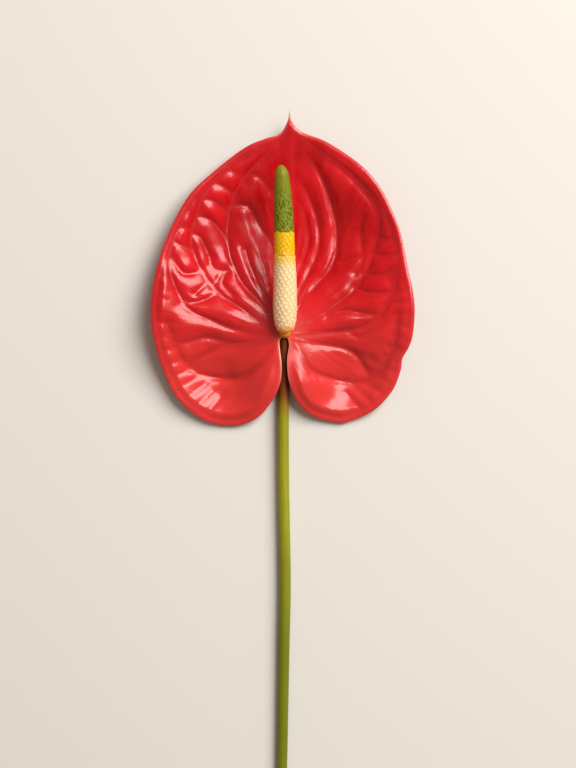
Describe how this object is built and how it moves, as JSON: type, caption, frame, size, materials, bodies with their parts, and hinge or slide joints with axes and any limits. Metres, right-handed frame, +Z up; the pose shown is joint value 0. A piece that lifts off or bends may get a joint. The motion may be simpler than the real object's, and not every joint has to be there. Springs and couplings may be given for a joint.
{
  "type": "cut anthurium stem",
  "caption": "Cut anthurium lying face up: red heart-shaped veined spathe, spadix of fine florets in cream, yellow and green, long round green stalk.",
  "frame": {"origin": "middle of the flower's box, on the table it lies on", "axes": "+Y along the flower towards the spathe's tip, +X to the right seen from above, +Z up from the table"},
  "size_m": [0.1212, 0.4284, 0.0274],
  "materials": {
    "spathe": "waxy, glossy red leaf with paler margin",
    "florets_cream": "ripe cream florets, satin, with an orange foot",
    "florets_yellow": "yellow florets, satin",
    "florets_green": "unopened green florets, satin, smooth at the tip",
    "stalk": "smooth green stalk, satin, pale at the cut"
  },
  "bodies": {
    "root": {"spathe": "spathe", "spadix_cream": "florets_cream", "spadix_yellow": "florets_yellow", "spadix_green": "florets_green", "peduncle": "stalk"}
  },
  "joints": []
}
